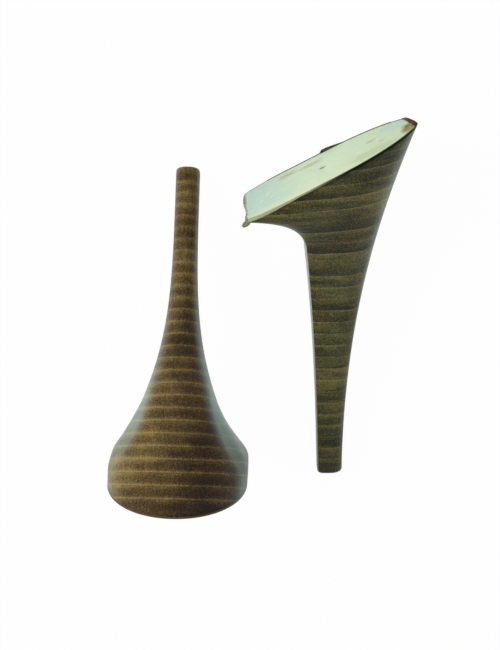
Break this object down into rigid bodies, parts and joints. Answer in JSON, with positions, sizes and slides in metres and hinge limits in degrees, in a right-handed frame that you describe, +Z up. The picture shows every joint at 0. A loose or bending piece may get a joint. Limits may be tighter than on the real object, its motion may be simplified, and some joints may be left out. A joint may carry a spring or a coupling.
{
  "type": "pair of stiletto shoe heels",
  "caption": "Pair of high stiletto shoe heels: pale plastic cores with a steel tube inside, wrapped round the back and sides in a striped stacked-leather veneer.",
  "frame": {"origin": "centre of the pair's bounding box, on the table", "axes": "+Z up from the table; +Y along the heels, from the left heel's seat to its tip; +X from the left heel to the right heel"},
  "size_m": [0.0928, 0.1154, 0.057],
  "materials": {
    "left_leather": "satin, waxed",
    "right_leather": "satin, waxed",
    "core_plastic": "moulded, with glue stains on the seat",
    "tube_steel": "drawn"
  },
  "bodies": {
    "root": {"left_core": "core_plastic", "left_tube": "tube_steel", "left_strip_01": "left_leather", "left_strip_02": "left_leather", "left_strip_03": "left_leather", "left_strip_04": "left_leather", "left_strip_05": "left_leather", "left_strip_06": "left_leather", "left_strip_07": "left_leather", "left_strip_08": "left_leather", "left_strip_09": "left_leather", "left_strip_10": "left_leather", "left_strip_11": "left_leather", "left_strip_12": "left_leather", "left_strip_13": "left_leather", "left_strip_14": "left_leather", "left_strip_15": "left_leather", "left_strip_16": "left_leather", "left_strip_17": "left_leather", "left_strip_18": "left_leather", "left_strip_19": "left_leather", "left_strip_20": "left_leather", "left_strip_21": "left_leather", "left_strip_22": "left_leather", "left_strip_23": "left_leather", "left_strip_24": "left_leather", "left_strip_25": "left_leather", "left_strip_26": "left_leather", "left_strip_27": "left_leather", "left_strip_28": "left_leather", "right_core": "core_plastic", "right_tube": "tube_steel", "right_strip_01": "right_leather", "right_strip_02": "right_leather", "right_strip_03": "right_leather", "right_strip_04": "right_leather", "right_strip_05": "right_leather", "right_strip_06": "right_leather", "right_strip_07": "right_leather", "right_strip_08": "right_leather", "right_strip_09": "right_leather", "right_strip_10": "right_leather", "right_strip_11": "right_leather", "right_strip_12": "right_leather", "right_strip_13": "right_leather", "right_strip_14": "right_leather", "right_strip_15": "right_leather", "right_strip_16": "right_leather", "right_strip_17": "right_leather", "right_strip_18": "right_leather", "right_strip_19": "right_leather", "right_strip_20": "right_leather", "right_strip_21": "right_leather", "right_strip_22": "right_leather", "right_strip_23": "right_leather", "right_strip_24": "right_leather", "right_strip_25": "right_leather", "right_strip_26": "right_leather", "right_strip_27": "right_leather", "right_strip_28": "right_leather"}
  },
  "joints": []
}
